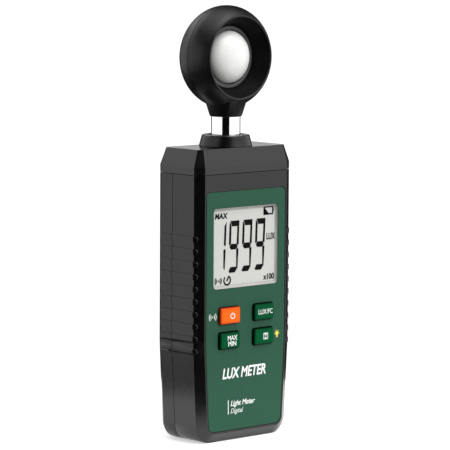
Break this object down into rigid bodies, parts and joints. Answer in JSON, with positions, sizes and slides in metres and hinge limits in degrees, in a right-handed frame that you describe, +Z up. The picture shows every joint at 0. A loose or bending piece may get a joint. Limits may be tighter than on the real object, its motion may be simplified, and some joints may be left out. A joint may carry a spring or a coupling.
{
  "type": "handheld light meter",
  "caption": "Handheld light meter: a tall moulded case with a display and keys under a round sensor head that swivels on a chromed neck.",
  "frame": {"origin": "centre of the flat base that the case stands on", "axes": "+Z up along the case, -Y out of the front face that carries the display, +X to the right seen from the front"},
  "size_m": [0.0648, 0.0368, 0.2143],
  "materials": {
    "case_shell": "fine-textured dark grey moulded plastic",
    "case_cap": "fine-textured grey moulded plastic",
    "head_shell": "satin black moulded plastic",
    "collar": "satin black moulded plastic",
    "face_label": "satin dark green overlay film",
    "window": "clear moulded window",
    "display": "pale grey display with dark segments",
    "reflector": "white diffusing sheet",
    "frame_plastic": "white moulded plastic",
    "zebra_rubber": "layered conductive rubber",
    "board": "green solder mask over glass-filled board",
    "chip": "black epoxy packages",
    "can": "tinned shielding can",
    "led": "clear moulded lamp",
    "switch_body": "black moulded switch body",
    "plunger": "white moulded plunger",
    "key_green": "dark green silicone key",
    "key_orange": "orange silicone key",
    "cell_jacket": "printed foil cell jacket",
    "contact": "nickel-plated spring steel",
    "wire": "insulated wire",
    "screw": "zinc-plated steel",
    "door_screw": "nickel-plated steel",
    "brass_insert": "turned brass",
    "neck_chrome": "bright chromed tube",
    "bush": "natural nylon",
    "spring_steel": "spring steel",
    "ring_grey": "grey moulded plastic",
    "dome": "white translucent diffuser",
    "seal": "black rubber",
    "diode": "dark silicon photodiode",
    "filter": "green-blue correction filter",
    "plug": "natural nylon plug",
    "lead": "black screened lead",
    "foam": "black foam strip"
  },
  "bodies": {
    "case": {"front_shell": "case_shell", "rear_shell": "case_shell", "top_cap": "case_cap", "neck_collar": "collar", "swivel_bush": "bush", "wave_washer": "spring_steel", "face_label": "face_label", "display_window": "window", "display_glass": "display", "display_frame": "frame_plastic", "backlight_panel": "reflector", "zebra_strips": "zebra_rubber", "main_board": "board", "board_screws": "screw", "board_chips": "chip", "wireless_module": "can", "backlight_leds": "led", "tact_switches": "switch_body", "battery_cells": "cell_jacket", "contact_plates": "contact", "contact_springs": "contact", "battery_leads": "wire", "door_insert": "brass_insert", "case_screws": "screw", "tripod_insert": "brass_insert", "board_plug": "plug", "board_lead": "lead"},
    "head": {"neck_tube": "neck_chrome", "neck_clip": "spring_steel", "stop_pin": "screw", "head_front_shell": "head_shell", "head_rear_shell": "head_shell", "head_screws": "screw", "bowl_ring": "ring_grey", "diffuser_dome": "dome", "dome_seal": "seal", "sensor_board": "board", "sensor_screws": "screw", "photodiode": "diode", "colour_filter": "filter", "head_plug": "plug", "sensor_lead": "lead"},
    "battery_door": {"battery_door": "case_shell", "door_pad": "foam"},
    "door_screw": {"door_screw": "door_screw"},
    "power_key": {"power_key": "key_orange", "power_plunger": "plunger"},
    "unit_key": {"unit_key": "key_green", "unit_plunger": "plunger"},
    "max_min_key": {"max_min_key": "key_green", "max_min_plunger": "plunger"},
    "hold_key": {"hold_key": "key_green", "hold_plunger": "plunger"}
  },
  "joints": [
    {"name": "head_swivel", "type": "hinge", "parent": "case", "child": "head", "pos_m": [0, 0, 0.145], "axis": [0, 0, 1], "range_deg": [-135, 135]},
    {"name": "power_press", "type": "slide", "parent": "case", "child": "power_key", "axis": [0, 1, 0], "range_m": [0, 0.0008], "stiffness_N_per_m": 1200, "springref_m": -0.0005},
    {"name": "unit_press", "type": "slide", "parent": "case", "child": "unit_key", "axis": [0, 1, 0], "range_m": [0, 0.0008], "stiffness_N_per_m": 1200, "springref_m": -0.0005},
    {"name": "max_min_press", "type": "slide", "parent": "case", "child": "max_min_key", "axis": [0, 1, 0], "range_m": [0, 0.0008], "stiffness_N_per_m": 1200, "springref_m": -0.0005},
    {"name": "hold_press", "type": "slide", "parent": "case", "child": "hold_key", "axis": [0, 1, 0], "range_m": [0, 0.0008], "stiffness_N_per_m": 1200, "springref_m": -0.0005},
    {"name": "door_swing", "type": "hinge", "parent": "case", "child": "battery_door", "pos_m": [0, 0.0154, 0.0283], "axis": [-1, 0, 0], "range_deg": [0, 75]},
    {"name": "door_screw_turn", "type": "hinge", "parent": "battery_door", "child": "door_screw", "pos_m": [0, 0.0154, 0.0886], "axis": [0, 1, 0], "continuous": true}
  ]
}
